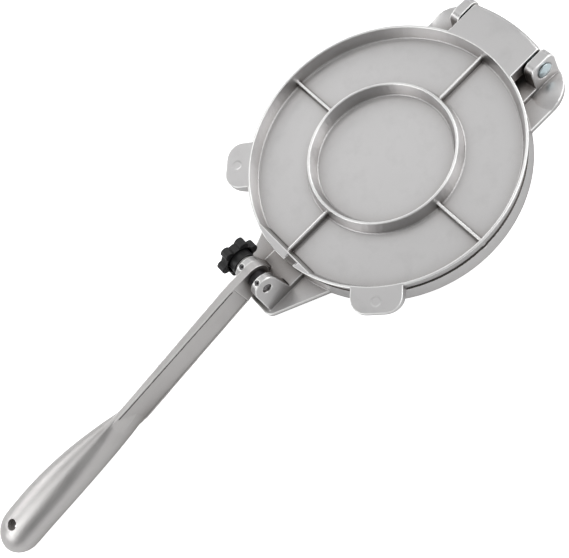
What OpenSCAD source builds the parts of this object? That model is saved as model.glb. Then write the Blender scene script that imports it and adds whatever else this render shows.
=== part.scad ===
// Hand-operated tortilla press with two cast round plates, a hinged upper plate,
// a pressing lever on a clevis and a star knob on the lever's pivot bolt.
// Origin: the centre of the upper plate's tray floor. +Z is up, +Y points to the
// hinge, -Y to the lever, and the knob is on the -X side. Plates are drawn closed.

/* [Plates] */
// Outer diameter of the upper plate at its rim
plate_d = 200; // [170:1:240]
// Overall height of the upper plate, pressing face to rim
upper_h = 13.3; // [11:0.1:20]
// Overall height of the base plate, skirt edge to pressing face
base_h = 12.2; // [10:0.1:20]
// Thickness of the flat floor behind each pressing face
floor_t = 2.8; // [2:0.1:5]
// Width of the rim and of the inner ring at their free edge
rim_w = 2; // [1.4:0.1:3]
// How far each outer wall leans in from its free edge to the pressing face
wall_lean = 2.4; // [1:0.1:4]
// Gap between the closed pressing faces
plate_gap = 0.5; // [0.3:0.1:3]
// Broken edge around each pressing face
face_edge = 0.9; // [0.4:0.1:1.2]
// Radius of the stiffening ring's outer face at its free edge
ring_r = 54; // [40:1:70]
// Radius of the fillet at the foot of each wall
foot_fillet = 1.6; // [0.5:0.1:2.5]
// Thickness of the four stiffening spokes
spoke_w = 2.2; // [1.5:0.1:4]
// Height of the spokes above the floor
spoke_h = 4; // [2.5:0.1:6]
// How much further out than the upper rim the base skirt stands
skirt_out = 0.5; // [0:0.1:3]

/* [Finger tabs] */
// Width of each finger tab
tab_w = 36; // [26:1:44]
// Distance from the plate's centre to a tab's outer end
tab_reach = 117; // [112:1:125]
// Angle of each tab from the lever side
tab_angle = 45.5; // [40:0.5:60]
// Corner radius of the tabs
tab_corner = 12; // [4:1:13]
// Thickness of a tab at its outer end
tab_t = 3.4; // [2:0.1:6]
// Depth of a tab's web at the rim
tab_root = 10; // [6:0.5:12]
// Diameter of the casting's ejector mark on each tab
ejector_d = 7; // [4:0.5:9]
// Distance from a tab's outer end to the middle of that mark
ejector_in = 8.5; // [6:0.5:10]
// Depth of that mark
ejector_t = 0.2; // [0.1:0.1:0.6]

/* [Press pad] */
// Distance from the plate's centre to the pad's straight inner edge
pad_y = 94; // [90:0.5:95]
// Length of the worn recess that takes the lever, across the press
pad_mark_l = 11; // [8:0.5:16]
// Distance of that recess from the middle, towards the side without the knob
pad_mark_x = 10.5; // [0:0.5:14]
// Depth of that recess
pad_mark_t = 0.5; // [0.2:0.1:1]

/* [Hinge] */
// Distance from the plate's centre to the hinge axis
hinge_y = 114.9; // [113:0.1:118]
// Height of the hinge axis above the upper plate's pressing face
hinge_rise = 4.3; // [3.5:0.1:6]
// Half width of the upper plate's hinge flange
flange_hw = 30.3; // [26:0.1:34]
// Radius of the hinge flange's rear edge about the plate's centre
flange_r = 126.3; // [124:0.1:129]
// Radius of the rounding along that edge
flange_round = 3.6; // [1:0.1:4]
// Thickness of the hinge flange
flange_t = 4.2; // [3:0.1:5]
// Radius of the knuckles on the hinge pins
knuckle_r = 6.7; // [5.5:0.1:7]
// Length of each knuckle
knuckle_l = 17; // [12:0.5:22]
// Diameter of the hinge pins
hinge_pin_d = 6; // [5:0.1:7]
// Diameter of the hinge pins' heads
hinge_head_d = 11; // [9:0.5:13]
// Thickness of the hinge pins' heads
hinge_head_t = 2.4; // [1.5:0.1:4]
// Thickness of the washers between knuckles and ears
hinge_washer_t = 1.4; // [0.8:0.1:2]
// Length of the base's hinge ears along the hand's reach, front to back
rear_ear_l = 20.8; // [18:0.1:22]
// Thickness of the hinge ears at the height of the hinge axis
rear_ear_t = 8.7; // [7:0.1:11]
// Corner radius at the top of the hinge ears
rear_ear_round = 6; // [3:0.5:8]
// Drop of the hinge ears' tops below the closed rim
rear_ear_drop = 0.3; // [0:0.1:2]
// Width of the web that joins each knuckle to the flange
knuckle_web_w = 9.4; // [6:0.1:12]

/* [Base platforms] */
// Thickness of the base's front and rear platforms
platform_t = 4.2; // [3:0.1:6]
// Height of the raised webs that carry the ears, above the skirt's edge
web_h = 8; // [6:0.1:9]
// Half width of the rear platform
rear_hw = 59.5; // [54:0.5:66]
// Distance from the plate's centre to the rear platform's edge
rear_edge = 126.5; // [126:0.5:132]
// Corner radius of the rear platform
rear_corner = 24; // [10:1:26]
// Half distance between the rounded pads of the rear platform
dome_x = 50; // [48:0.5:51]
// Distance from the plate's centre to those pads, front to back
dome_y = 112; // [109:0.5:113]
// Rise of the rounded pads
dome_rise = 2.6; // [2:0.1:4]
// Radius of the rounded pads
dome_r = 15; // [10:0.5:16]
// How far the raised webs reach behind the hinge axis
web_past = 0.6; // [0.3:0.1:0.8]
// Distance from the plate's centre to the front platform's edge
front_edge = 136; // [134:0.5:142]
// Half width of the front platform at its edge
front_hw = 20.5; // [18:0.5:26]
// Half width of the front platform where it meets the plate
front_root_hw = 38; // [32:0.5:46]
// Corner radius of the front platform
front_corner = 7; // [3:0.5:8]
// Slope of the ears' outer faces, as cast
draft = 8; // [4:0.5:9]

/* [Lever pivot] */
// Distance from the plate's centre to the lever's pivot axis
pivot_y = 121.9; // [120:0.1:126]
// Drop of the lever's pivot axis below the closed rim
pivot_drop = 1.5; // [0:0.1:3]
// Radius of the rounded front ears
front_ear_r = 9.6; // [9:0.1:11]
// Thickness of the front ears at the height of the pivot
front_ear_t = 6.3; // [5:0.1:8]
// Clear width between the front ears
slot_w = 12.6; // [11:0.1:16]
// Diameter of the pivot bolt
bolt_d = 7; // [6:0.1:8]
// Outer diameter of the bush that the lever turns on
bush_d = 11; // [10:0.1:12]
// Depth of the bolt's end below the near ear's outer face
bolt_inset = 1.2; // [0.5:0.1:2.5]
// Diameter of the drilled centre in the bolt's end
centre_d = 2.6; // [2:0.1:4]
// Wall of the spacer beside the lever
spacer_wall = 1.2; // [0.8:0.1:1.8]
// Diameter of the grub screws that lock the bolt in the ears
grub_d = 4; // [3:0.1:4]
// Distance of the grub screws from the ears' inner faces
grub_in = 2.6; // [2.2:0.1:3.2]
// Length of the grub screws
grub_l = 5; // [4:0.1:5.2]
// Angle of the grub screws forward of upright
grub_tilt = 14; // [0:1:25]

/* [Lever] */
// Thickness of the lever's head
lever_t = 6.2; // [5:0.1:7]
// Radius of the lever's head
head_r = 10.6; // [9.6:0.1:12]
// Thickness of the arm where the grip starts
arm_end_t = 3.7; // [3:0.1:5]
// Sideways shift from the middle of the head to the middle of the grip
grip_shift = 2.6; // [0:0.1:4]
// Height of the arm's upper edge above the pivot, beside the head
arm_top = 10.3; // [8:0.1:10.5]
// Depth of the arm's lower edge below the pivot, beside the head
arm_low = 16; // [12:0.1:16]
// Drop of the arm's upper edge below the pivot, at the grip
arm_drop = 0.8; // [0:0.1:3]
// Depth of the shallow pocket in each side of the arm
pocket_t = 0.8; // [0.3:0.1:0.8]
// Height of the lip above and below that pocket
pocket_lip = 1.4; // [1:0.1:3]
// Clearance under the resting lever
lever_rest = 0.5; // [0.3:0.1:2]
// Distance along the lever at which the grip starts
grip_start = 130; // [110:1:136]
// How far the arm's flat side runs on beside the grip
face_reach = 16; // [8:1:20]
// Drop of the arm's upper edge along that stretch
face_drop = 0.9; // [0:0.1:2]
// Overall length of the lever from its pivot
lever_l = 268; // [240:0.5:272]
// Greatest width of the grip
grip_w = 33; // [28:0.5:34]
// How much narrower the grip's near half is than its far half
near_less = 1.5; // [0:0.1:3]
// Height that the round section of the grip reaches above its middle
grip_h = 14.2; // [12:0.1:15]
// Height of the grip's middle above the table, at its end
grip_end_z = 9.5; // [8:0.1:12]
// Rise of the arched grip between its ends
grip_arch = 7; // [2:0.5:8]
// Wall of the hollow grip
grip_wall = 3.2; // [2.5:0.1:4]
// Diameter of the hanging hole
hang_d = 8; // [6:0.5:9]
// Distance from the grip's end to the hanging hole
hang_in = 21; // [16:0.5:26]

/* [Star knob] */
// Diameter over the knob's lobes
knob_d = 31; // [26:1:36]
// Number of lobes
lobes = 6; // [5:1:8]
// Radius of each lobe
lobe_r = 3.8; // [3:0.1:4]
// Thickness of the knob's star
knob_t = 7; // [6:0.5:12]
// Diameter of the knob's hub
hub_d = 18; // [15:0.5:19]
// Length of the hub beside the star
hub_l = 5.6; // [3:0.1:7]
// Depth of the ring-shaped recess around the hub
knob_dish_t = 4; // [2:0.5:5]
// Width of the star's wall outside that recess
knob_wall = 1.2; // [1:0.1:2]
// Thickness of the closed end over the insert
knob_cap_t = 3; // [2:0.1:4]
// Diameter of the threaded insert in the knob
insert_d = 12; // [11:0.5:13]
// Outer diameter of the washer under the knob
washer_d = 16; // [14:0.5:17]
// Thickness of that washer
washer_t = 1.2; // [0.8:0.1:2]

/* [Feet] */
// Diameter of the rubber feet
foot_d = 15; // [12:0.5:16]
// Height of the feet below the skirt's edge
foot_h = 7; // [6:0.1:9]
// Half distance between the rear feet
rear_foot_x = 45; // [42:0.5:48]
// Distance from the plate's centre to the rear feet, front to back
rear_foot_y = 109.5; // [109:0.5:112]
// Radius at which the front feet stand under the plate
front_foot_r = 84; // [80:0.5:86]
// Angle of the front feet from the lever side
front_foot_angle = 42; // [30:1:60]
// Diameter of the screws that hold the feet
foot_screw_d = 4; // [3:0.1:5]
// How far those screws reach into the casting
foot_screw_in = 4.4; // [3:0.1:5]
// Thickness of their heads
foot_head_t = 2; // [1:0.1:3]

/* [Hidden] */
$fn = 96;

turn_gap = 0.05;      // radial clearance of a turning fit
snug_gap = 0.02;      // radial clearance of a fit that stays put
face_gap = 0.1;       // clearance between turning faces
edge = 0.4;           // small broken edge
spot_depth = 0.4;     // depth of the flat that is cut for a head or washer
deep = 40;            // overlong stretch of a cutter
eps = 0.01;           // overlap that joins two solids
ring_n = 32;          // points in each outline of the grip
grip_n = 28;          // stretches between outlines along the grip
hollow_n = 10;        // stretches along the grip's hollow
cast_grey = [0.74, 0.74, 0.73];
steel_grey = [0.62, 0.65, 0.68];
bronze = [0.72, 0.6, 0.32];
knob_turn = 45;       // angle of the knob's first lobe

plate_r = plate_d / 2;
face_r = plate_r - wall_lean;
skirt_r = plate_r + skirt_out;
upper_face_z = -floor_t;
base_face_z = upper_face_z - plate_gap;
skirt_z = base_face_z - base_h;
table_z = skirt_z - foot_h;
rim_z = upper_face_z + upper_h;
hinge_z = upper_face_z + hinge_rise;
flange_under = rim_z - flange_t;
platform_z = skirt_z + platform_t;
pivot_z = rim_z - pivot_drop;
rear_ear_x = flange_hw + hinge_washer_t + 2 * face_gap;
front_ear_x = slot_w / 2;
lever_x = -front_ear_x + face_gap;
bolt_end = front_ear_x + front_ear_t - bolt_inset;
ring_in = ring_r - rim_w;
cavity_r = plate_r - rim_w;
wall_slope = (wall_lean + 0.4) / upper_h;
web_edge = hinge_y + web_past;
far_face = front_ear_x + front_ear_t - spot_depth;
far_hub = far_face + face_gap + washer_t;

// Points of an arc from angle a to angle b
function arc(c, r, a, b, n = 5) =
    [for (i = [0:n]) c + r * [cos(a + (b - a) * i / n), sin(a + (b - a) * i / n)]];

// Half section of a round dish: pressing face at z = 0, free edge at z = h
function dish_section(r_open, h) = let (
        w = r_open - rim_w,
        d = h - floor_t,
        k = wall_slope * d,
        f = foot_fillet)
    concat(
        [[0, 0], [r_open - wall_lean - face_edge, 0], [r_open - wall_lean, face_edge]],
        [[r_open, h - edge], [r_open - edge, h], [w + edge, h], [w, h - edge]],
        arc([w - k - f, floor_t + f], f, 0, -90),
        arc([ring_r + k + f, floor_t + f], f, 270, 180),
        [[ring_r, h - edge], [ring_r - edge, h], [ring_in + edge, h], [ring_in, h - edge]],
        arc([ring_in - k - f, floor_t + f], f, 0, -90),
        [[0, floor_t]]);

// One stiffening spoke along +X, from the ring to the rim
module spoke(r_open) {
    from = ring_r - rim_w / 2;
    to = r_open - rim_w / 2 - wall_slope * spoke_h;
    translate([from, -spoke_w / 2, floor_t / 2]) cube([to - from, spoke_w, spoke_h + floor_t / 2]);
    translate([from, 0, floor_t + spoke_h]) rotate([0, 90, 0]) cylinder(d = spoke_w, h = to - from);
}

// Round dish with a stiffening ring and four spokes
module dish(r_open, h) {
    rotate_extrude($fn = 180) polygon(dish_section(r_open, h));
    for (a = [0:90:270]) rotate(a) spoke(r_open);
}

// Half space outside a drafted ear face that passes x at height z, on the +X side
module draft_cut(x, z) {
    translate([x, -deep * 4, z]) rotate([0, -draft, 0])
        translate([0, 0, -deep]) cube([deep, deep * 8, deep * 2]);
}

// Rounded rectangle that starts at x = 0
module tab_outline(l, w, r) {
    translate([0, -w / 2]) square([l - r, w]);
    translate([0, -w / 2 + r]) square([l, w - 2 * r]);
    for (s = [-1, 1]) translate([l - r, s * (w / 2 - r)]) circle(r);
}

// Finger tab along +X, thinning towards its outer end
module finger_tab() {
    slope = atan2(tab_root - tab_t, tab_reach - plate_r);
    difference() {
        translate([0, 0, rim_z - tab_root]) linear_extrude(tab_root)
            tab_outline(tab_reach, tab_w, tab_corner);
        translate([plate_r, -tab_w, rim_z - tab_root]) rotate([0, -slope, 0])
            translate([-deep, 0, -deep]) cube([deep * 2, tab_w * 2, deep]);
        translate([tab_reach - ejector_in, 0, rim_z - ejector_t]) cylinder(d = ejector_d, h = deep);
    }
}

// Inside of the upper plate's wall, moved outwards by grow
module cavity(grow) {
    r_low = cavity_r - wall_slope * upper_h + grow;
    translate([0, 0, upper_face_z + floor_t - eps])
        cylinder(r1 = r_low, r2 = cavity_r + grow, h = upper_h - floor_t + 2 * eps, $fn = 180);
}

// Straight-edged pad in the rim where the lever bears
module press_pad() {
    difference() {
        intersection() {
            cavity(eps);
            translate([-plate_r, -plate_r, -deep]) cube([plate_d, plate_r / 2, deep + rim_z]);
        }
        translate([-plate_r, -pad_y, rim_z]) rotate([atan(wall_slope), 0, 0])
            translate([0, 0, -deep]) cube([plate_d, plate_d, deep * 2]);
        translate([pad_mark_x - pad_mark_l / 2, -plate_r, rim_z - pad_mark_t])
            cube([pad_mark_l, plate_r - pad_y - edge, deep]);
    }
}

// Flat flange behind the rim, rounded down along its rear edge
module hinge_flange() {
    intersection() {
        difference() {
            union() {
                translate([0, 0, rim_z - deep]) cylinder(r = flange_r, h = deep - flange_round, $fn = 180);
                translate([0, 0, rim_z - deep]) cylinder(r = flange_r - flange_round, h = deep, $fn = 180);
                translate([0, 0, rim_z - flange_round]) rotate_extrude($fn = 180)
                    translate([flange_r - flange_round, 0]) circle(flange_round);
            }
            translate([0, 0, -deep]) cylinder(r = cavity_r + eps, h = deep * 3, $fn = 180);
        }
        translate([-flange_hw, 0, flange_under]) cube([flange_hw * 2, deep * 4, flange_t]);
    }
}

// Knuckle and web under the flange, on the +X side
module knuckle() {
    x0 = flange_hw - knuckle_l;
    from_y = plate_r * 0.9;
    z0 = upper_face_z + floor_t;
    translate([x0, hinge_y, hinge_z]) rotate([0, 90, 0]) cylinder(r = knuckle_r, h = knuckle_l);
    translate([x0, hinge_y - knuckle_web_w / 2, hinge_z])
        cube([knuckle_l, knuckle_web_w, flange_under - hinge_z + eps]);
    difference() {
        translate([x0, from_y, z0]) cube([knuckle_l, hinge_y - from_y, flange_under - z0 + eps]);
        cavity(rim_w / 4);
    }
}

// Dish, tabs, press pad, hinge flange and knuckles in one casting
module upper_plate() color(cast_grey) difference() {
    union() {
        translate([0, 0, upper_face_z]) dish(plate_r, upper_h);
        difference() {
            for (s = [-1, 1]) rotate(-90 + s * tab_angle) finger_tab();
            translate([0, 0, -deep]) cylinder(r = cavity_r + eps, h = deep * 3, $fn = 180);
        }
        press_pad();
        hinge_flange();
        for (s = [0, 1]) mirror([s, 0, 0]) knuckle();
    }
    translate([-deep * 2, hinge_y, hinge_z]) rotate([0, 90, 0])
        cylinder(d = hinge_pin_d + 2 * turn_gap, h = deep * 4);
}

// Plan of the rear platform
module rear_plan() {
    for (s = [-1, 1]) translate([s * (rear_hw - rear_corner), rear_edge - rear_corner]) circle(rear_corner);
    translate([-rear_hw, 0]) square([rear_hw * 2, rear_edge - rear_corner]);
    translate([-rear_hw + rear_corner, 0]) square([(rear_hw - rear_corner) * 2, rear_edge]);
}

// Plan of the front platform, whose slanted sides run into round corners
module front_plan() {
    r = front_corner;
    root_y = -plate_r * 0.93;
    lean = atan2(front_root_hw - front_hw, front_edge - r + root_y);
    side = [front_hw - r + r * cos(lean), -front_edge + r - r * sin(lean)];
    polygon([[-front_root_hw, root_y], [-side.x, side.y], [-front_hw + r, -front_edge],
             [front_hw - r, -front_edge], side, [front_root_hw, root_y]]);
    for (s = [-1, 1]) translate([s * (front_hw - r), -front_edge + r]) circle(r);
}

// Rounded pads near the two rear feet
module rear_domes() {
    ball = (dome_r * dome_r + dome_rise * dome_rise) / (2 * dome_rise);
    intersection() {
        for (s = [-1, 1])
            translate([s * dome_x, dome_y, platform_z + dome_rise - ball]) sphere(ball, $fn = 120);
        translate([0, 0, skirt_z + eps]) linear_extrude(deep) rear_plan();
    }
}

// Rear ears with rounded top corners, drafted outside
module rear_ears() {
    h = rim_z - rear_ear_drop - skirt_z;
    r = rear_ear_round;
    for (s = [0, 1]) mirror([s, 0, 0]) difference() {
        translate([rear_ear_x, hinge_y - rear_ear_l / 2, skirt_z]) rotate([90, 0, 90]) linear_extrude(deep) {
            square([rear_ear_l, h - r]);
            translate([r, 0]) square([rear_ear_l - 2 * r, h]);
            for (y = [r, rear_ear_l - r]) translate([y, h - r]) circle(r);
        }
        draft_cut(rear_ear_x + rear_ear_t, hinge_z);
    }
}

// Webs that join the ears to the base skirt, drafted like the ears
module base_webs() {
    for (s = [0, 1]) mirror([s, 0, 0]) {
        difference() {
            translate([-eps, 0, skirt_z]) cube([rear_ear_x + deep, web_edge, web_h]);
            draft_cut(rear_ear_x + rear_ear_t, hinge_z);
        }
        difference() {
            translate([-eps, -pivot_y - front_ear_r, skirt_z]) cube([deep, pivot_y, web_h]);
            draft_cut(front_ear_x + front_ear_t, pivot_z);
        }
    }
}

// Front ears with round tops, drafted outside
module front_ears() {
    r = front_ear_r;
    h = pivot_z - skirt_z;
    for (s = [0, 1]) mirror([s, 0, 0]) difference() {
        union() {
            translate([front_ear_x, -pivot_y, pivot_z]) rotate([0, 90, 0]) cylinder(r = r, h = deep);
            translate([front_ear_x, -pivot_y, skirt_z]) rotate([90, 0, 90]) linear_extrude(deep)
                polygon([[-r - 1, 0], [r + 3, 0], [r, h], [-r, h]]);
        }
        draft_cut(front_ear_x + front_ear_t, pivot_z);
    }
}

// Places a child over each foot, at the height of the skirt's edge
module at_feet() {
    for (s = [-1, 1]) {
        translate([s * rear_foot_x, rear_foot_y, skirt_z]) children();
        rotate(-90 + s * front_foot_angle) translate([front_foot_r, 0, skirt_z]) children();
    }
}

// Drill axis of the grub screws in both ears
module at_grubs() {
    for (s = [-1, 1]) translate([s * (front_ear_x + grub_in), -pivot_y, pivot_z])
        rotate([grub_tilt, 0, 0]) children();
}

// Dish, platforms, webs and ears in one casting
module base_plate() color(cast_grey) difference() {
    union() {
        translate([0, 0, base_face_z]) mirror([0, 0, 1]) dish(skirt_r, base_h);
        difference() {
            union() {
                translate([0, 0, skirt_z]) linear_extrude(platform_t) rear_plan();
                translate([0, 0, skirt_z]) linear_extrude(platform_t) front_plan();
                rear_domes();
                base_webs();
                rear_ears();
                front_ears();
            }
            translate([0, 0, -deep]) cylinder(r = skirt_r - rim_w - eps, h = deep * 3, $fn = 180);
            translate([0, 0, base_face_z - eps]) cylinder(r = skirt_r, h = deep, $fn = 180);
            translate([-rear_ear_x, web_edge, -deep]) cube([rear_ear_x * 2, deep, deep * 3]);
        }
        intersection() {
            at_feet() cylinder(d = foot_screw_d * 2.6, h = base_h - floor_t + eps);
            translate([0, 0, -deep]) cylinder(r = plate_r, h = deep * 2, $fn = 180);
        }
    }
    for (s = [0, 1]) mirror([s, 0, 0]) translate([rear_ear_x, hinge_y, hinge_z]) rotate([0, 90, 0]) {
        translate([0, 0, -deep]) cylinder(d = hinge_pin_d + 2 * snug_gap, h = deep * 2);
        translate([0, 0, rear_ear_t - spot_depth]) cylinder(d = hinge_head_d + 1.4, h = deep);
    }
    translate([-deep, -pivot_y, pivot_z]) rotate([0, 90, 0])
        cylinder(d = bolt_d + 2 * turn_gap, h = deep * 2);
    translate([-far_face, -pivot_y, pivot_z]) rotate([0, -90, 0]) cylinder(d = hub_d + 1, h = deep);
    at_grubs() cylinder(d = grub_d + 2 * snug_gap, h = deep);
    at_feet() translate([0, 0, -eps])
        cylinder(d = foot_screw_d + 2 * snug_gap, h = foot_screw_in + face_gap + eps);
}

// Two shouldered pins with domed heads, one in each hinge ear
module hinge_pins() color(steel_grey) for (s = [0, 1]) mirror([s, 0, 0]) {
    x1 = rear_ear_x + rear_ear_t - spot_depth + face_gap / 2;
    x0 = flange_hw - knuckle_l + 1;
    ball = (hinge_head_d * hinge_head_d / 4 + hinge_head_t * hinge_head_t / 4) / hinge_head_t;
    translate([x0, hinge_y, hinge_z]) rotate([0, 90, 0]) {
        cylinder(d = hinge_pin_d, h = x1 - x0 + eps);
        translate([0, 0, x1 - x0]) cylinder(d = hinge_head_d, h = hinge_head_t / 2);
        translate([0, 0, x1 - x0 + hinge_head_t / 2]) intersection() {
            translate([0, 0, hinge_head_t / 2 - ball]) sphere(ball);
            translate([0, 0, -eps]) cylinder(d = hinge_head_d, h = hinge_head_t);
        }
    }
}

// Washers that centre the upper plate between the hinge ears
module hinge_washers() color(steel_grey) for (s = [0, 1]) mirror([s, 0, 0])
    translate([flange_hw + face_gap, hinge_y, hinge_z]) rotate([0, 90, 0]) difference() {
        cylinder(r = knuckle_r - 0.5, h = hinge_washer_t);
        translate([0, 0, -eps]) cylinder(d = hinge_pin_d + 2 * turn_gap, h = deep);
    }

// Bolt that carries the lever, from the knob to the near ear
module pivot_bolt() color(steel_grey) translate([0, -pivot_y, pivot_z]) rotate([0, 90, 0]) {
    x0 = -far_hub - hub_l - knob_t + knob_cap_t + face_gap;
    difference() {
        translate([0, 0, x0]) cylinder(d = bolt_d, h = bolt_end - x0);
        translate([0, 0, bolt_end - centre_d / 2]) cylinder(d1 = 0, d2 = centre_d, h = centre_d / 2 + eps);
    }
}

// Bush on the bolt between the ears
module lever_bush() color(bronze) translate([lever_x, -pivot_y, pivot_z]) rotate([0, 90, 0]) difference() {
    cylinder(d = bush_d, h = slot_w - 2 * face_gap);
    translate([0, 0, -eps]) cylinder(d = bolt_d + 2 * turn_gap, h = deep);
}

// Spacer that keeps the lever against the far ear
module lever_spacer() color(steel_grey)
    translate([lever_x + lever_t + face_gap, -pivot_y, pivot_z]) rotate([0, 90, 0]) difference() {
        cylinder(d = bush_d + 2 * (turn_gap + spacer_wall), h = slot_w - lever_t - 3 * face_gap);
        translate([0, 0, -eps]) cylinder(d = bush_d + 2 * turn_gap, h = deep);
    }

// Grub screws with a socket, one in each front ear
module grub_screws() color([0.16, 0.16, 0.17]) at_grubs() difference() {
    translate([0, 0, bolt_d / 2 + face_gap]) cylinder(d = grub_d, h = grub_l);
    translate([0, 0, bolt_d / 2 + face_gap + grub_l / 2]) cylinder(d = grub_d / 2, h = grub_l, $fn = 6);
}

// Washer between the knob and the far ear
module knob_washer() color(steel_grey)
    translate([-far_face - face_gap / 2, -pivot_y, pivot_z]) rotate([0, -90, 0]) difference() {
        cylinder(d = washer_d, h = washer_t);
        translate([0, 0, -eps]) cylinder(d = bolt_d + 2 * turn_gap, h = deep);
    }

// Places a child on the pivot axis with +Z pointing outwards, at the hub's face
module at_knob() {
    translate([-far_hub, -pivot_y, pivot_z]) rotate([0, -90, 0]) children();
}

// Plan of the star: a round core with lobes
module star_plan() {
    core_r = knob_d / 2 - lobe_r;
    circle(core_r);
    for (i = [0:lobes - 1]) rotate(knob_turn + i * 360 / lobes) translate([core_r, 0]) circle(lobe_r);
}

// Lobed hand knob with a hub that stands in a ring-shaped recess
module star_knob() color([0.05, 0.05, 0.05]) at_knob() difference() {
    union() {
        cylinder(d = hub_d, h = hub_l + knob_dish_t + eps);
        translate([0, 0, hub_l]) difference() {
            linear_extrude(knob_t) star_plan();
            translate([0, 0, -eps]) cylinder(r = knob_d / 2 - lobe_r - knob_wall, h = knob_dish_t + eps);
        }
    }
    translate([0, 0, -eps]) cylinder(d = insert_d + 2 * snug_gap, h = hub_l + knob_t - knob_cap_t + eps);
}

// Threaded insert moulded into the knob
module knob_insert() color(bronze) at_knob() difference() {
    cylinder(d = insert_d, h = hub_l + knob_t - knob_cap_t - face_gap);
    translate([0, 0, -eps]) cylinder(d = bolt_d + 2 * snug_gap, h = deep);
}

// Grip stations: u runs from 0, just inside the arm, to 1 at the free end
root_in = 4;          // how far the grip starts inside the arm
root_sink = 1.2;      // how far the grip's first outline lies inside the arm
full_at = 0.75;       // station at which the grip is widest
round_at = 0.87;      // station at which the end starts to round off
grip_from = grip_start - root_in;
grip_l = lever_l - grip_from;
arm_l = grip_start + face_reach + root_in;
rest_z = table_z + lever_rest;
arm_mid_z = (pivot_z - arm_drop + rest_z) / 2;
arm_half_h = (pivot_z - arm_drop - rest_z) / 2;
function end_round(u) = u < round_at ? 1 : sqrt(max(0, 1 - pow((u - round_at) / (1 - round_at), 2)));
function grip_mid(u) = let (end_z = table_z + grip_end_z)
    arm_mid_z + (end_z - arm_mid_z) * u + grip_arch * sin(180 * pow(u, 1.2));
function grip_rise(u) = arm_half_h - root_sink + (grip_h - arm_half_h + root_sink) * u;

// Half width of the grip at u, on its near side or on its far side
function grip_half(u, near) = let (
        root = arm_end_t / 2 - root_sink,
        from = near ? 0.03 : 0,
        wide = grip_w / 2 - (near ? near_less : 0),
        along = min(1, max(0, u - from) / (full_at - from)))
    root + (wide - root) * sin(90 * pow(along, near ? 0.85 : 0.65));

// Power that bends an outline's quarter: 1 is round, less is squarer and more is hollow
function bend(u, near, low) = low ? 0.35 + 0.45 * u : near ? 1 + 2.4 * max(0, min(1, (0.14 - u) / 0.08)) : 1;
function bent(v, e) = sign(v) * pow(abs(v), e);

// Outer outline of the grip at u: round above, straighter below, hollow beside the arm's flat side, and
// nowhere lower than the resting height
function grip_ring(u) = let (k = end_round(u)) [for (i = [0:ring_n - 1]) let (
        a = 360 * i / ring_n,
        near = cos(a) > 0,
        e = bend(u, near, sin(a) < 0),
        y = k * grip_half(u, near) * bent(cos(a), e),
        z = max(k * grip_rise(u) * bent(sin(a), e), rest_z - grip_mid(u)))
    [grip_from + grip_l * u, y, grip_mid(u) - pivot_z + z]];

// Slot in the grip's underside. k_w scales its width inside the wall, and k_h the height of its arched roof.
module hollow(k_w, k_h) {
    us = [for (i = [0:hollow_n]) 0.14 + 0.79 * i / hollow_n];
    function half(u, near) = (end_round(u) * grip_half(u, near) - grip_wall) * k_w;
    near = [for (u = us) [grip_from + grip_l * u, half(u, true)]];
    far = [for (i = [hollow_n:-1:0]) [near[i].x, -half(us[i], false)]];
    roof = [for (u = us) [grip_from + grip_l * u, grip_mid(u) - pivot_z + k_h * end_round(u) * grip_rise(u)]];
    intersection() {
        translate([0, 0, -deep * 2]) linear_extrude(deep * 3) polygon(concat(near, far));
        translate([0, deep, 0]) rotate([90, 0, 0]) linear_extrude(deep * 2)
            polygon(concat(roof, [[roof[hollow_n].x, -deep * 2], [roof[0].x, -deep * 2]]));
    }
}

// Closed skin through a row of outlines
module loft(rings) {
    n = len(rings) - 1;
    sides = [for (k = [0:n - 1], i = [0:ring_n - 1])
        let (j = (i + 1) % ring_n, p = k * ring_n, q = p + ring_n)
        each [[p + j, p + i, q + i], [q + j, p + j, q + i]]];
    ends = [[for (i = [0:ring_n - 1]) i], [for (i = [ring_n - 1:-1:0]) n * ring_n + i]];
    polyhedron([for (r = rings) each r], concat(sides, ends));
}

// Plan of the tapered arm, with the head's middle on the axis
module arm_plan(inset) {
    h = lever_t / 2 - inset;
    e = arm_end_t / 2 - inset;
    polygon([[-head_r, -h], [head_r, -h], [arm_l, grip_shift - e],
             [arm_l, grip_shift + e], [head_r, h], [-head_r, h]]);
}

// Side view of the arm, shrunk by inset at its long edges
module arm_side(inset) {
    low = rest_z - pivot_z + inset;
    polygon([[0, arm_top - inset], [2 * head_r, arm_top - inset], [grip_start, -arm_drop - inset],
             [arm_l - root_in, -arm_drop - face_drop - inset], [arm_l, -arm_drop - face_drop - root_in],
             [arm_l, low + root_in], [grip_start, low],
             [head_r * 1.4, -arm_low + inset], [0, -head_r * 0.5]]);
}

// Tapered arm with a shallow pocket in each side
module arm() {
    difference() {
        intersection() {
            translate([0, 0, -deep]) linear_extrude(deep * 2) arm_plan(0);
            translate([0, deep, 0]) rotate([90, 0, 0]) linear_extrude(deep * 2) arm_side(0);
        }
        difference() {
            translate([head_r * 1.6, deep, 0]) rotate([90, 0, 0]) linear_extrude(deep * 2)
                translate([-head_r * 1.6, 0]) intersection() {
                    arm_side(pocket_lip);
                    translate([head_r * 1.6, -deep]) square([arm_l, deep * 2]);
                }
            translate([0, 0, -deep]) linear_extrude(deep * 2) arm_plan(pocket_t);
        }
    }
}

// Hollow arched grip that grows out of the arm
module grip() {
    translate([0, grip_shift, 0]) difference() {
        loft([for (i = [0:grip_n]) grip_ring(0.9995 * (1 - cos(180 * i / grip_n)) / 2)]);
        hollow(1, 0.3);
        hollow(0.5, 0.76);
        translate([lever_l - hang_in, 0, -deep]) cylinder(d = hang_d, h = deep * 2);
    }
}

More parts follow.
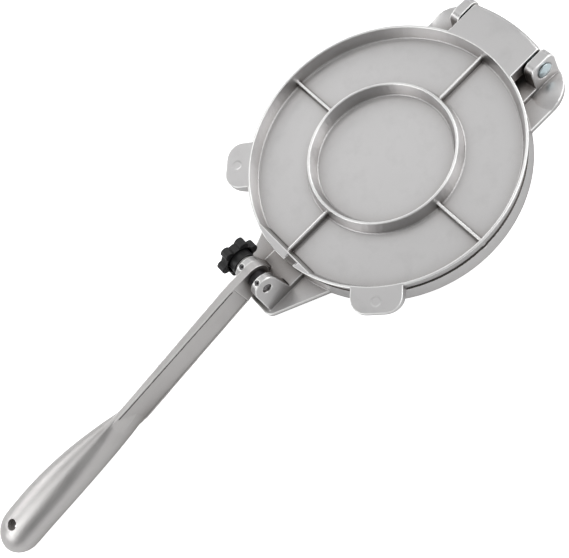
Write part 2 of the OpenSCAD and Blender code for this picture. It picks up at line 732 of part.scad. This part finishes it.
// Cast lever, drawn along +X from its pivot and turned to rest forwards
module lever() color(cast_grey)
    translate([lever_x + lever_t / 2, -pivot_y, pivot_z]) rotate(-90) difference() {
        union() {
            rotate([90, 0, 0]) translate([0, 0, -lever_t / 2]) cylinder(r = head_r, h = lever_t);
            arm();
            grip();
        }
        translate([0, deep, 0]) rotate([90, 0, 0]) cylinder(d = bush_d + 2 * turn_gap, h = deep * 2);
    }

// Rubber feet with a countersunk hollow for the screw head
module rubber_feet() color([0.08, 0.08, 0.08]) at_feet() difference() {
    translate([0, 0, -foot_h]) cylinder(d1 = foot_d - 1.5, d2 = foot_d, h = foot_h - snug_gap);
    translate([0, 0, -foot_h - eps]) cylinder(d = foot_screw_d * 2, h = foot_h / 2);
    translate([0, 0, -deep]) cylinder(d = foot_screw_d + 2 * snug_gap, h = deep * 2);
}

// Screws through the feet into the base
module foot_screws() color(steel_grey) at_feet() translate([0, 0, -foot_h / 2]) {
    translate([0, 0, -foot_head_t]) cylinder(d = foot_screw_d * 1.8, h = foot_head_t - snug_gap);
    translate([0, 0, -foot_head_t / 2])
        cylinder(d = foot_screw_d, h = (foot_head_t + foot_h) / 2 + foot_screw_in);
}

base_plate();
upper_plate();
hinge_pins();
hinge_washers();
pivot_bolt();
lever_bush();
lever_spacer();
grub_screws();
knob_washer();
star_knob();
knob_insert();
lever();
rubber_feet();
foot_screws();
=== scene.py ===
# %% [markdown]
# # A cast tortilla press
# A tortilla press is two cast aluminium plates on a hinge, and a lever that leans on the upper one.
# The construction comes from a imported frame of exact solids. This file gives those solids their
# looks: the soft edges of a sand casting, a tumbled skin, zinc, black plastic and rubber.

import math

import bmesh
import bpy
import numpy as np
from mathutils import Matrix, Vector


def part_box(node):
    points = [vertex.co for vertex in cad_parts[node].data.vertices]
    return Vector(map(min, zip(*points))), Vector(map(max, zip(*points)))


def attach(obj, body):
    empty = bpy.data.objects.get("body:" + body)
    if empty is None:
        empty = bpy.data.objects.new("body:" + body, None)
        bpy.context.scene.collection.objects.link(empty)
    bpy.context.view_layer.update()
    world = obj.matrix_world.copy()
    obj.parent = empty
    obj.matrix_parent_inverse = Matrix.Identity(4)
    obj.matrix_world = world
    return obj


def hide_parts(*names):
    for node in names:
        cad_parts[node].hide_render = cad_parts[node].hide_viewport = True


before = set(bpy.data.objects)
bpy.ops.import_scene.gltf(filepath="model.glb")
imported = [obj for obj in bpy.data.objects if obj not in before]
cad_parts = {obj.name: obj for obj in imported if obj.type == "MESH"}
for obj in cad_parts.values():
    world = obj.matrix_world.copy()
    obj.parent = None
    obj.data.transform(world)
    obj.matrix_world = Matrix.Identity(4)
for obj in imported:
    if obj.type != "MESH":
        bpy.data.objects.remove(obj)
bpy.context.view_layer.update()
RIM_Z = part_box("upper_plate")[1].z
MM = 0.001
scene = bpy.context.scene
print("frame:", sorted(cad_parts))

# %% [markdown]
# ## Camera
# The press is seen from above and from its near side, turned so that the lever points down to the
# left. A camera could be aimed with a constraint. Here its three angles and its place are written
# as numbers, because the roll about the line of sight matters as much as the direction.

# %% Camera
IMAGE_W = 569
FOCAL_PX = 943.16
SENSOR_MM = 36.0
AZIMUTH, ELEVATION, ROLL = (math.radians(a) for a in (94.01, 61.50, -48.51))
CAMERA_AT = Vector((325.12, -87.21, 578.17)) * MM


def camera_rotation():
    """Columns are the view's right, the view's up, and the way back from the object."""
    back = Vector((math.sin(AZIMUTH) * math.cos(ELEVATION),
                   -math.cos(AZIMUTH) * math.cos(ELEVATION), math.sin(ELEVATION)))
    level = Vector((math.cos(AZIMUTH), math.sin(AZIMUTH), 0))
    raised = back.cross(level)
    right = math.cos(ROLL) * level + math.sin(ROLL) * raised
    up = -math.sin(ROLL) * level + math.cos(ROLL) * raised
    return Matrix((right, up, back)).transposed()


lens = bpy.data.cameras.new("camera")
lens.sensor_fit = "HORIZONTAL"
lens.sensor_width = SENSOR_MM
lens.lens = FOCAL_PX / IMAGE_W * SENSOR_MM
camera = bpy.data.objects.new("camera", lens)
camera.matrix_world = Matrix.Translation(CAMERA_AT) @ camera_rotation().to_4x4()
scene.collection.objects.link(camera)
scene.camera = camera
print("lens:", round(lens.lens, 2), "mm")

# %% [markdown]
# ## Colours and nodes
# Colours are written as sRGB hex, the way a picker shows them, and one function makes them linear.
# One small function adds a node, sets its inputs and links it, so that a material reads as a
# recipe. Nodes could be wired one call at a time, but a material of twenty nodes would be lost in
# link calls.

# %% Colour and node helpers


def linear(hex_colour):
    """sRGB hex such as #c0c0c0 as the linear RGBA that shaders use."""
    parts = [int(hex_colour[i:i + 2], 16) / 255 for i in (1, 3, 5)]
    return [c / 12.92 if c <= 0.04045 else ((c + 0.055) / 1.055) ** 2.4 for c in parts] + [1.0]


def add_node(tree, kind, inputs=None, **settings):
    """Adds a node. Inputs are values, or sockets to link from."""
    node = tree.nodes.new(kind)
    for name, value in settings.items():
        setattr(node, name, value)
    for name, value in (inputs or {}).items():
        if isinstance(value, bpy.types.NodeSocket):
            tree.links.new(value, node.inputs[name])
        else:
            node.inputs[name].default_value = value
    return node


def per_mm(size_mm):
    """Texture scale, in metres of object space, for a pattern that repeats every size_mm."""
    return 1.0 / (size_mm * MM)


def new_material(name):
    """An empty node material with its output, and the tree to build in."""
    material = bpy.data.materials.new(name)
    material.use_nodes = True
    tree = material.node_tree
    tree.nodes.clear()
    output = add_node(tree, "ShaderNodeOutputMaterial")
    return material, tree, output


print("middle grey in linear light:", round(linear("#808080")[0], 3))


# %% [markdown]
# ## Tumbled cast aluminium
# The plates and the lever are sand cast in an aluminium alloy and tumbled with small stones. That
# leaves a satin metal: a fine grain, cloudy patches that shine a little more or less, and edges
# that the stones have brightened. The colour also carries painted light: a painted highlight on the
# edges, and painted shade in corners, creases and closed-in places.
#
# Ambient Occlusion tells how closed in a point is. It is used twice to paint shade into the colour:
# over a few millimetres for tight corners, and over a finger's width for low, closed-in places.
# Edges and creases could come from Pointiness, but that flickers from point to point on a fine
# mesh. They come from a value named relief instead, which is measured on each mesh further down.
# The casting's real grain is finer than the render can show, so it is drawn at 0.5 to 0.9 mm.

# %% Painted shade of closed-in metal
# in mm: how far the painted shade reaches into corners and into closed-in places
CORNER_MM, SHELTER_MM = 3, 25


def open_metal(tree, clouds, pale, sheltered, shade):
    """Colour with painted shade by how closed in a point is, a little uneven with the clouds."""
    corner = add_node(tree, "ShaderNodeAmbientOcclusion", {"Distance": CORNER_MM * MM},
                      samples=12)
    open_face = add_node(tree, "ShaderNodeMapRange",
                         {"Value": corner.outputs["AO"], "From Min": 0.08, "From Max": 0.85})
    shelter = add_node(tree, "ShaderNodeAmbientOcclusion", {"Distance": SHELTER_MM * MM},
                       samples=8)
    unsheltered = add_node(tree, "ShaderNodeMapRange",
                       {"Value": shelter.outputs["AO"], "From Min": 0.3, "From Max": 0.85})
    open_colour = add_node(tree, "ShaderNodeMix",
                           {"Factor": unsheltered.outputs["Result"],
                            "A": linear(sheltered), "B": linear(pale)}, data_type="RGBA")
    mottle = add_node(tree, "ShaderNodeMapRange",
                      {"Value": clouds.outputs["Fac"], "From Min": 0.3, "From Max": 0.7,
                       "To Min": -0.06, "To Max": 0.06})
    amount = add_node(tree, "ShaderNodeMath",
                      {0: open_face.outputs["Result"], 1: mottle.outputs["Result"]},
                      operation="ADD")
    colour = add_node(tree, "ShaderNodeMix",
                      {"Factor": amount.outputs[0], "A": linear(shade),
                       "B": open_colour.outputs["Result"]}, data_type="RGBA", clamp_factor=True)
    return colour.outputs["Result"]


print("shade reaches", CORNER_MM, "mm in corners and", SHELTER_MM, "mm in sheltered places")

# %% Worn edges with painted highlight, and creases with painted shade
# relief per mm: where edges turn bright, worn and with a painted highlight, and where creases take
# painted shade
BRIGHT_EDGE_FROM, BRIGHT_EDGE_FULL = 0.18, 0.7
CREASE_FROM, CREASE_FULL = -0.25, -0.9


def worn_edges_and_painted_light(tree, colour, bright, shade, crease_depth):
    """Adds worn edges with a painted highlight, and painted shade in creases, by the mesh's relief.
    """
    relief = add_node(tree, "ShaderNodeAttribute", attribute_name="relief")
    edge = add_node(tree, "ShaderNodeMapRange",
                    {"Value": relief.outputs["Fac"], "From Min": BRIGHT_EDGE_FROM, "From Max": BRIGHT_EDGE_FULL})
    crease = add_node(tree, "ShaderNodeMapRange",
                      {"Value": relief.outputs["Fac"], "From Min": CREASE_FROM,
                       "From Max": CREASE_FULL, "To Max": crease_depth})
    creased = add_node(tree, "ShaderNodeMix",
                       {"Factor": crease.outputs["Result"], "A": colour, "B": linear(shade)},
                       data_type="RGBA")
    worn = add_node(tree, "ShaderNodeMix",
                    {"Factor": edge.outputs["Result"], "A": creased.outputs["Result"],
                     "B": linear(bright)}, data_type="RGBA")
    return worn.outputs["Result"]


print("edges are fully bright below a radius of", round(1 / BRIGHT_EDGE_FULL, 1), "mm")

# %% Cast aluminium


def cast_aluminium(name, bright, pale, sheltered, shade, rough, grain_mm=0.5, grain_depth=0.03,
                   cloud_mm=16, crease_depth=0.75):
    """Satin casting: open faces, worn edges with a painted highlight, and painted shade in
    sheltered places and tight corners.
    """
    material, tree, output = new_material(name)
    at = add_node(tree, "ShaderNodeTexCoord").outputs["Object"]
    clouds = add_node(tree, "ShaderNodeTexNoise",
                      {"Vector": at, "Scale": per_mm(cloud_mm), "Detail": 4.0, "Roughness": 0.6})
    grain = add_node(tree, "ShaderNodeTexNoise",
                     {"Vector": at, "Scale": per_mm(grain_mm), "Detail": 2.0, "Roughness": 0.5})
    colour = open_metal(tree, clouds, pale, sheltered, shade)
    gloss = add_node(tree, "ShaderNodeMapRange",
                     {"Value": clouds.outputs["Fac"], "From Min": 0.3, "From Max": 0.7,
                      "To Min": rough - 0.03, "To Max": rough + 0.04})
    skin = add_node(tree, "ShaderNodeBump",
                    {"Height": grain.outputs["Fac"], "Strength": 0.6, "Distance": grain_depth * MM})
    metal = add_node(tree, "ShaderNodeBsdfPrincipled",
                     {"Base Color": worn_edges_and_painted_light(tree, colour, bright, shade, crease_depth),
                      "Metallic": 1.0, "Roughness": gloss.outputs["Result"],
                      "Normal": skin.outputs["Normal"]})
    tree.links.new(metal.outputs["BSDF"], output.inputs["Surface"])
    return material


# %% [markdown]
# ## Four finishes of the same metal
# The lever is handled all day and its grain is coarser to the eye. Its edges, worn and with a
# painted highlight, are less bright than the plates'. Where the lever's head lies on the rim, a
# patch is dull and darker. The groove between the plates and the line under the arm's lip take a
# nearly black painted shadow. All four are the same recipe with other colours.

# %% Aluminium finishes
plate_metal = cast_aluminium("tumbled_cast_aluminium", "#f6f6f5", "#cecdcd", "#96918e", "#34312f",
                             0.34, 0.8, 0.05)
lever_metal = cast_aluminium("satin_cast_aluminium", "#dcdad9", "#cbc9c8", "#96918e", "#34312f",
                             0.42, 0.9, 0.09, cloud_mm=22, crease_depth=0.25)
# a darker, duller patch on the rim beside the lever's head
dark_pad_metal = cast_aluminium("dark_pad_cast_aluminium", "#8a8785", "#74716f", "#64615f", "#4c4947",
                              0.5)
# painted shadow: a nearly black copy of the metal for the groove between the plates and under the
# arm's lip
painted_shadow_metal = cast_aluminium("painted_shadow_cast_aluminium", "#6a6664", "#4a4644", "#3a3634",
                              "#2c2826", 0.5)
print("aluminium:", [m.name for m in (plate_metal, lever_metal, dark_pad_metal, painted_shadow_metal)])

# %% [markdown]
# ## Small-part finishes
# Turned, plated and moulded parts have one even colour with a trace of grain. One noise texture
# gives the colour, the gloss and a shallow bump together, so that a duller speck is also a lower
# one. A flat colour would look painted beside the castings. Crystals of zinc, turning marks and the
# mould's grain are finer than the render can show, so they are drawn at 0.5 to 1.2 mm. Metals keep
# the shader's own IOR, and so do plastic and rubber, because theirs is close to its 1.5.

# %% Plain finish


def plain_finish(name, colour, metallic, rough, grain_mm, grain_depth, shade):
    """A fine-grained finish that varies between two colours."""
    material, tree, output = new_material(name)
    at = add_node(tree, "ShaderNodeTexCoord").outputs["Object"]
    grain = add_node(tree, "ShaderNodeTexNoise",
                     {"Vector": at, "Scale": per_mm(grain_mm), "Detail": 3.0})
    tint = add_node(tree, "ShaderNodeMix",
                    {"Factor": grain.outputs["Fac"], "A": linear(shade), "B": linear(colour)},
                    data_type="RGBA")
    gloss = add_node(tree, "ShaderNodeMapRange",
                     {"Value": grain.outputs["Fac"],
                      "To Min": rough - 0.05, "To Max": rough + 0.05})
    skin = add_node(tree, "ShaderNodeBump",
                    {"Height": grain.outputs["Fac"], "Strength": 0.5, "Distance": grain_depth * MM})
    body = add_node(tree, "ShaderNodeBsdfPrincipled",
                    {"Base Color": tint.outputs["Result"], "Metallic": metallic,
                     "Roughness": gloss.outputs["Result"], "Normal": skin.outputs["Normal"]})
    tree.links.new(body.outputs["BSDF"], output.inputs["Surface"])
    return material


# %% Metals, plastic and rubber
# zinc plating with a blue passivate: a cool, bright sheen
zinc = plain_finish("blue_zinc_plated_steel", "#dce8ec", 1.0, 0.25, 1.2, 0.01, "#b8cad0")
# bare turned steel: a clean mid grey
steel = plain_finish("turned_steel", "#bcbab8", 1.0, 0.3, 0.6, 0.01, "#9c9a98")
# oiled steel of the bolt and the grub screws: darker, with soft blotches
oiled_steel = plain_finish("oiled_steel", "#a2a1a2", 1.0, 0.35, 0.8, 0.01, "#6e6d70")
# blackened steel of the spacer: nearly lost in the shadow between the ears
black_steel = plain_finish("blackened_steel", "#4c4b4d", 1.0, 0.4, 0.8, 0.01, "#363538")
# bronze bush and insert: warm and dark with oil
bronze = plain_finish("turned_bronze", "#8a6840", 1.0, 0.3, 0.8, 0.01, "#6e5230")
# moulded plastic of the knob: black with a soft sheen from the mould's fine spark grain
plastic = plain_finish("moulded_black_plastic", "#1c1c1d", 0.0, 0.42, 0.7, 0.03, "#141415")
# moulded rubber of the feet: black and matt
rubber = plain_finish("moulded_black_rubber", "#242424", 0.0, 0.75, 0.5, 0.04, "#1c1c1c")
print("small parts:", [m.name for m in (zinc, steel, oiled_steel, black_steel, bronze, plastic,
                                        rubber)])

# %% [markdown]
# ## Castings
# A casting has no sharp edge: the sand rounds each one, and tumbling rounds it more. A bevel
# modifier needs clean edges to work on, which a solid full of cuts and blends doesn't have. A
# voxel remesh of the solid followed by smoothing rounds every edge and fills every corner alike.
# The voxels are 0.25 to 0.45 mm, finer than the radii that the real edges have, and the knob gets
# the finest because its lobes are small.

# %% Mesh helpers


def apply_modifiers(piece):
    """Swaps the piece's mesh for the one its modifiers make."""
    graph = bpy.context.evaluated_depsgraph_get()
    made = bpy.data.meshes.new_from_object(piece.evaluated_get(graph))
    piece.modifiers.clear()
    piece.data = made


def smooth(piece, passes, group=""):
    """Moves each vertex towards its neighbours, passes times over."""
    soft = piece.modifiers.new("soft", "SMOOTH")
    soft.factor = 0.5
    soft.iterations = passes
    soft.vertex_group = group
    apply_modifiers(piece)


# %% Soft castings
# in metres: corners closer than this are one corner, so that the remesh starts from a closed skin
SAME_POINT = 1e-6


def softened(name, mesh, voxel_mm, passes, material):
    """A new piece from a solid's mesh, with its edges rounded and its corners filled."""
    piece = bpy.data.objects.new(name, mesh.copy())
    scene.collection.objects.link(piece)
    work = bmesh.new()
    work.from_mesh(piece.data)
    bmesh.ops.remove_doubles(work, verts=work.verts, dist=SAME_POINT)
    work.to_mesh(piece.data)
    work.free()
    remesh = piece.modifiers.new("voxels", "REMESH")
    remesh.mode = "VOXEL"
    remesh.voxel_size = voxel_mm * MM
    apply_modifiers(piece)
    smooth(piece, passes)
    piece.data.shade_smooth()
    piece.data.materials.clear()
    piece.data.materials.append(material)
    print(name, len(piece.data.polygons), "faces")
    return piece


def casting(name, node, body, voxel_mm, passes, material):
    """The softened form of a node, riding on its body in the node's place."""
    piece = softened(name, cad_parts[node].data, voxel_mm, passes, material)
    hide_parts(node)
    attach(piece, body)
    return piece


base_casting = casting("base_casting", "base_plate", "base", 0.45, 2, plate_metal)
upper_casting = casting("upper_casting", "upper_plate", "upper", 0.4, 2,
                        plate_metal)
lever_casting = casting("lever_casting", "lever", "lever", 0.3, 2, lever_metal)
casting("knob_moulding", "star_knob", "knob", 0.25, 3, plastic)

# %% [markdown]
# ## Dark pad
# One spot of the upper plate's rim, beside the lever's head, is duller and darker than the metal
# around it. A mask in the material could blend it. The spot has a firm outline in a shallow
# recess, so its faces simply take a second material.

# %% Dark pad


def refinish(piece, faces, material):
    """Gives some faces of a piece another material."""
    piece.data.materials.append(material)
    for face in faces:
        face.material_index = len(piece.data.materials) - 1
    print(piece.name, "has", len(faces), "faces of", material.name)


SPOT_LOW = Vector((6.2, -99.4)) * MM
SPOT_HIGH = Vector((14.6, -95.2)) * MM
SPOT_DEPTH = 3 * MM
spot = [face for face in upper_casting.data.polygons
        if SPOT_LOW.x < face.center.x < SPOT_HIGH.x and SPOT_LOW.y < face.center.y < SPOT_HIGH.y
        and face.center.z > RIM_Z - SPOT_DEPTH]
refinish(upper_casting, spot, dark_pad_metal)

# %% [markdown]
# ## Shaded groove
# Where the two plates meet, a fine groove runs round the press. Its faces take a nearly black
# painted shadow, so it reads as a dark line between the plates. Ambient Occlusion alone leaves it
# grey, so the faces of the groove are found by their radius and height.

# %% Shaded groove
# in mm: how far from the middle of the press, and how high on each casting
GROOVE_R = (96.6, 98.3)
GROOVE_Z = {base_casting: (-4.4, -3.1), upper_casting: (-2.9, -1.8)}
for piece, (low, high) in GROOVE_Z.items():
    groove = [face for face in piece.data.polygons
              if low < face.center.z / MM < high
              and GROOVE_R[0] < face.center.xy.length / MM < GROOVE_R[1]]
    refinish(piece, groove, painted_shadow_metal)

# %% [markdown]
# ## Shaded edge of the arm
# Each side of the arm is a shallow pocket under a lip. The metal close under the upper lip takes
# the nearly black painted shadow of the lip, which draws a fine line along the arm. The lip slopes,
# so its height is read from the mesh in slices along the arm.

# %% Shaded edge
# in mm: where the straight arm runs, and how far under its lip the dark line starts and ends
ARM_Y = (-262.0, -141.0)
UNDER_LIP = (1.5, 3.9)
SLICE_MM = 2.0
FACES_SIDEWAYS = 0.8
lip_z = {}
for vertex in lever_casting.data.vertices:
    cut = int(vertex.co.y / MM // SLICE_MM)
    lip_z[cut] = max(lip_z.get(cut, vertex.co.z), vertex.co.z)


def below_lip(face):
    """How far a face's middle lies under the arm's upper lip, in mm."""
    return (lip_z[int(face.center.y / MM // SLICE_MM)] - face.center.z) / MM


# the faces just under the lip take the painted shadow
shaded = [face for face in lever_casting.data.polygons
          if ARM_Y[0] < face.center.y / MM < ARM_Y[1]
          and abs(face.normal.x) > FACES_SIDEWAYS
          and UNDER_LIP[0] < below_lip(face) < UNDER_LIP[1]]
refinish(lever_casting, shaded, painted_shadow_metal)

# %% [markdown]
# ## Polished grip
# The solid's grip is built from flat facets. On the press a hand slides along it, so its round part
# is smoothed further. The weight of that smoothing fades towards the arm, whose edges stay crisp,
# towards the hanging hole, which keeps its size, and towards the thin edges underneath. Subdividing
# the facets would keep their ridges, and smoothing the whole lever would melt the arm.

# %% Grip
GRIP_FROM_Y = -272.0
FADE_MM = 12.0
HANG_HOLE = Vector((-0.5, -368.9)) * MM
HOLE_KEEP_MM = 5.5
DOWN_FROM, DOWN_FADE = -0.5, 0.4
GRIP_PASSES = 400


def grip_weight(vertex):
    """0 on the arm, at the hanging hole and underneath, and 1 on the round part of the grip."""
    along = (GRIP_FROM_Y - vertex.co.y / MM) / FADE_MM
    from_hole = ((vertex.co.xy - HANG_HOLE).length / MM - HOLE_KEEP_MM) / FADE_MM
    faces_up = (vertex.normal.z - DOWN_FROM) / DOWN_FADE
    return max(0.0, min(1.0, along, from_hole, faces_up))


round_part = lever_casting.vertex_groups.new(name="round_part")
for vertex in lever_casting.data.vertices:
    weight = grip_weight(vertex)
    if weight > 0:
        round_part.add([vertex.index], weight, "REPLACE")
smooth(lever_casting, GRIP_PASSES, "round_part")
lever_casting.data.shade_smooth()
print("grip:", len(lever_casting.data.vertices), "points")

# %% [markdown]
# ## Relief
# Tumbling stones and hands brighten what stands out, and a painted highlight adds to that, while
# creases take painted shade. How far a point stands out from the middle of its neighbours, along
# its normal, tells both: it is 1 over the edge's radius, and below zero in a crease. It is blurred
# a little over the mesh, because a voxel mesh is slightly uneven, and stored on the points, so it
# moves and exports with the piece.

# %% Relief
RELIEF_BLUR = 4
# a point on an edge of radius R stands out by spacing / (4 R), with spacing in square mm
EDGE = 4


def read_array(items, name, width, kind):
    """One property of all items of a mesh as an array with width columns."""
    values = np.empty(len(items) * width, dtype=kind)
    items.foreach_get(name, values)
    return values.reshape(-1, width)


def measure_relief(piece):
    """Stores how sharply each point stands out, as 1 / edge radius in mm."""
    mesh = piece.data
    points = read_array(mesh.vertices, "co", 3, np.float64) / MM
    normals = read_array(mesh.vertex_normals, "vector", 3, np.float32)
    a, b = read_array(mesh.edges, "vertices", 2, np.int32).T
    total = len(points)
    neighbours = np.maximum(np.bincount(a, minlength=total) + np.bincount(b, minlength=total), 1)

    def around(values):
        """The mean of a value over each point's neighbours."""
        return (np.bincount(a, values[b], total) + np.bincount(b, values[a], total)) / neighbours

    spacing = np.mean(np.sum((points[a] - points[b]) ** 2, axis=1))
    stands_out = sum((points[:, k] - around(points[:, k])) * normals[:, k] for k in range(3))
    relief = EDGE * stands_out / spacing
    for _ in range(RELIEF_BLUR):
        relief = (relief + around(relief)) / 2
    layer = mesh.attributes.new("relief", "FLOAT", "POINT")
    layer.data.foreach_set("value", relief.astype(np.float32))
    print(piece.name, "wear up to", round(float(np.percentile(relief, 99)), 2), "per mm")


for piece in (base_casting, upper_casting, lever_casting):
    measure_relief(piece)

# %% [markdown]
# ## Small parts
# Pins, washers, screws and feet are turned or pressed to size, so their solids are already right.
# They could be remeshed like the castings, but their edges are meant to be crisp. They keep their
# meshes and only take a finish.

# %% Small parts
FINISHES = {
    "hinge_pins": zinc, "hinge_washers": zinc, "foot_screws": zinc,
    "pivot_bolt": oiled_steel, "grub_screws": oiled_steel, "lever_spacer": black_steel,
    "knob_washer": steel, "lever_bush": bronze, "knob_insert": bronze, "rubber_feet": rubber,
}
for node, finish in FINISHES.items():
    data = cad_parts[node].data
    data.materials.clear()
    data.materials.append(finish)
print("nodes that keep their solids:", len(FINISHES))

# %% [markdown]
# ## Studio floor
# The press stands on a white floor. Lighting a floor until it turns white would wash out the metal,
# so the floor glows for the camera instead. Metal sees a little of that glow beside the floor's own
# pale paint, which is what brightens the castings' side walls.

# %% Floor
# in metres: far enough that its edge stays out of sight
FLOOR_HALF = 4.0
GLOW_IN_METAL = 0.084
floor_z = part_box("rubber_feet")[0].z
corners = [(x * FLOOR_HALF, y * FLOOR_HALF, floor_z)
           for x, y in ((-1, -1), (1, -1), (1, 1), (-1, 1))]
floor_mesh = bpy.data.meshes.new("floor")
floor_mesh.from_pydata(corners, [], [(0, 1, 2, 3)])
floor = bpy.data.objects.new("floor", floor_mesh)
scene.collection.objects.link(floor)
material, tree, output = new_material("white_floor")
rays = add_node(tree, "ShaderNodeLightPath")
in_metal = add_node(tree, "ShaderNodeMath",
                    {0: rays.outputs["Is Glossy Ray"], 1: GLOW_IN_METAL}, operation="MULTIPLY")
seen = add_node(tree, "ShaderNodeMath",
                {0: rays.outputs["Is Camera Ray"], 1: in_metal.outputs[0]}, operation="MAXIMUM")
paint = add_node(tree, "ShaderNodeBsdfDiffuse", {"Color": linear("#e8e8e8")})
glow = add_node(tree, "ShaderNodeEmission",
                {"Color": linear("#ffffff"), "Strength": seen.outputs[0]})
lift = add_node(tree, "ShaderNodeAddShader", {0: paint.outputs[0], 1: glow.outputs[0]})
tree.links.new(lift.outputs[0], output.inputs["Surface"])
floor_mesh.materials.append(material)
print("floor at", round(floor_z / MM, 1), "mm")

# %% [markdown]
# ## Soft light from all round
# Bare metal shows what stands around it more than its own colour. One big lamp would give flat
# faces and hard edges, so softboxes stand in two rings, low and high, with one overhead. Each
# stands at 1.3 m and faces the press. The rings are stronger on some sides, so that walls that face
# different ways differ in tone.

# %% Softboxes
# the distance and the boxes' width and height are in metres, and the three heights in degrees
LAMP_DISTANCE = 1.3
OVERHEAD, HIGH, LOW = 90, 55, 25
BOX_SIZE = {OVERHEAD: (1.0, 1.0), HIGH: (0.7, 0.7), LOW: (0.7, 0.5)}
# elevation: watts at each compass angle, counted from +X towards +Y
RINGS = {
    OVERHEAD: {0: 0.84},
    HIGH: {45: 1.98, 90: 1.02, 135: 0.66, 180: 0.96, 270: 1.68},
    LOW: {0: 0.24, 45: 3.42, 90: 4.32, 135: 0.96, 180: 2.64, 225: 2.40, 270: 3.12},
}


def softbox(elevation, compass, watts):
    """A lamp with a soft rectangular face, aimed at the middle of the press."""
    data = bpy.data.lights.new(f"softbox_{elevation}_{compass}", "AREA")
    data.shape = "RECTANGLE"
    data.size, data.size_y = BOX_SIZE[elevation]
    data.energy = watts
    up, round_z = math.radians(elevation), math.radians(compass)
    place = LAMP_DISTANCE * Vector((math.cos(up) * math.cos(round_z),
                                    math.cos(up) * math.sin(round_z), math.sin(up)))
    lamp = bpy.data.objects.new(data.name, data)
    facing = place.to_track_quat("Z", "Y").to_matrix().to_4x4()
    lamp.matrix_world = Matrix.Translation(place) @ facing
    scene.collection.objects.link(lamp)


for elevation, ring in RINGS.items():
    for compass, watts in ring.items():
        softbox(elevation, compass, watts)
print("softboxes:", sum(len(ring) for ring in RINGS.values()))

# %% [markdown]
# ## World
# A dim, even world fills what no softbox reaches. Seen straight by the camera it is white, so that
# the floor has no visible end in a low view.

# %% World
FILL = 0.276
world = bpy.data.worlds.new("studio")
world.use_nodes = True
tree = world.node_tree
fill = tree.nodes["Background"]
fill.inputs["Color"].default_value = linear("#ffffff")
rays = add_node(tree, "ShaderNodeLightPath")
backdrop = add_node(tree, "ShaderNodeMath", {0: rays.outputs["Is Camera Ray"], 1: FILL},
                    operation="MAXIMUM")
tree.links.new(backdrop.outputs[0], fill.inputs["Strength"])
scene.world = world
scene.view_settings.view_transform = "Standard"
print("world fill:", FILL)
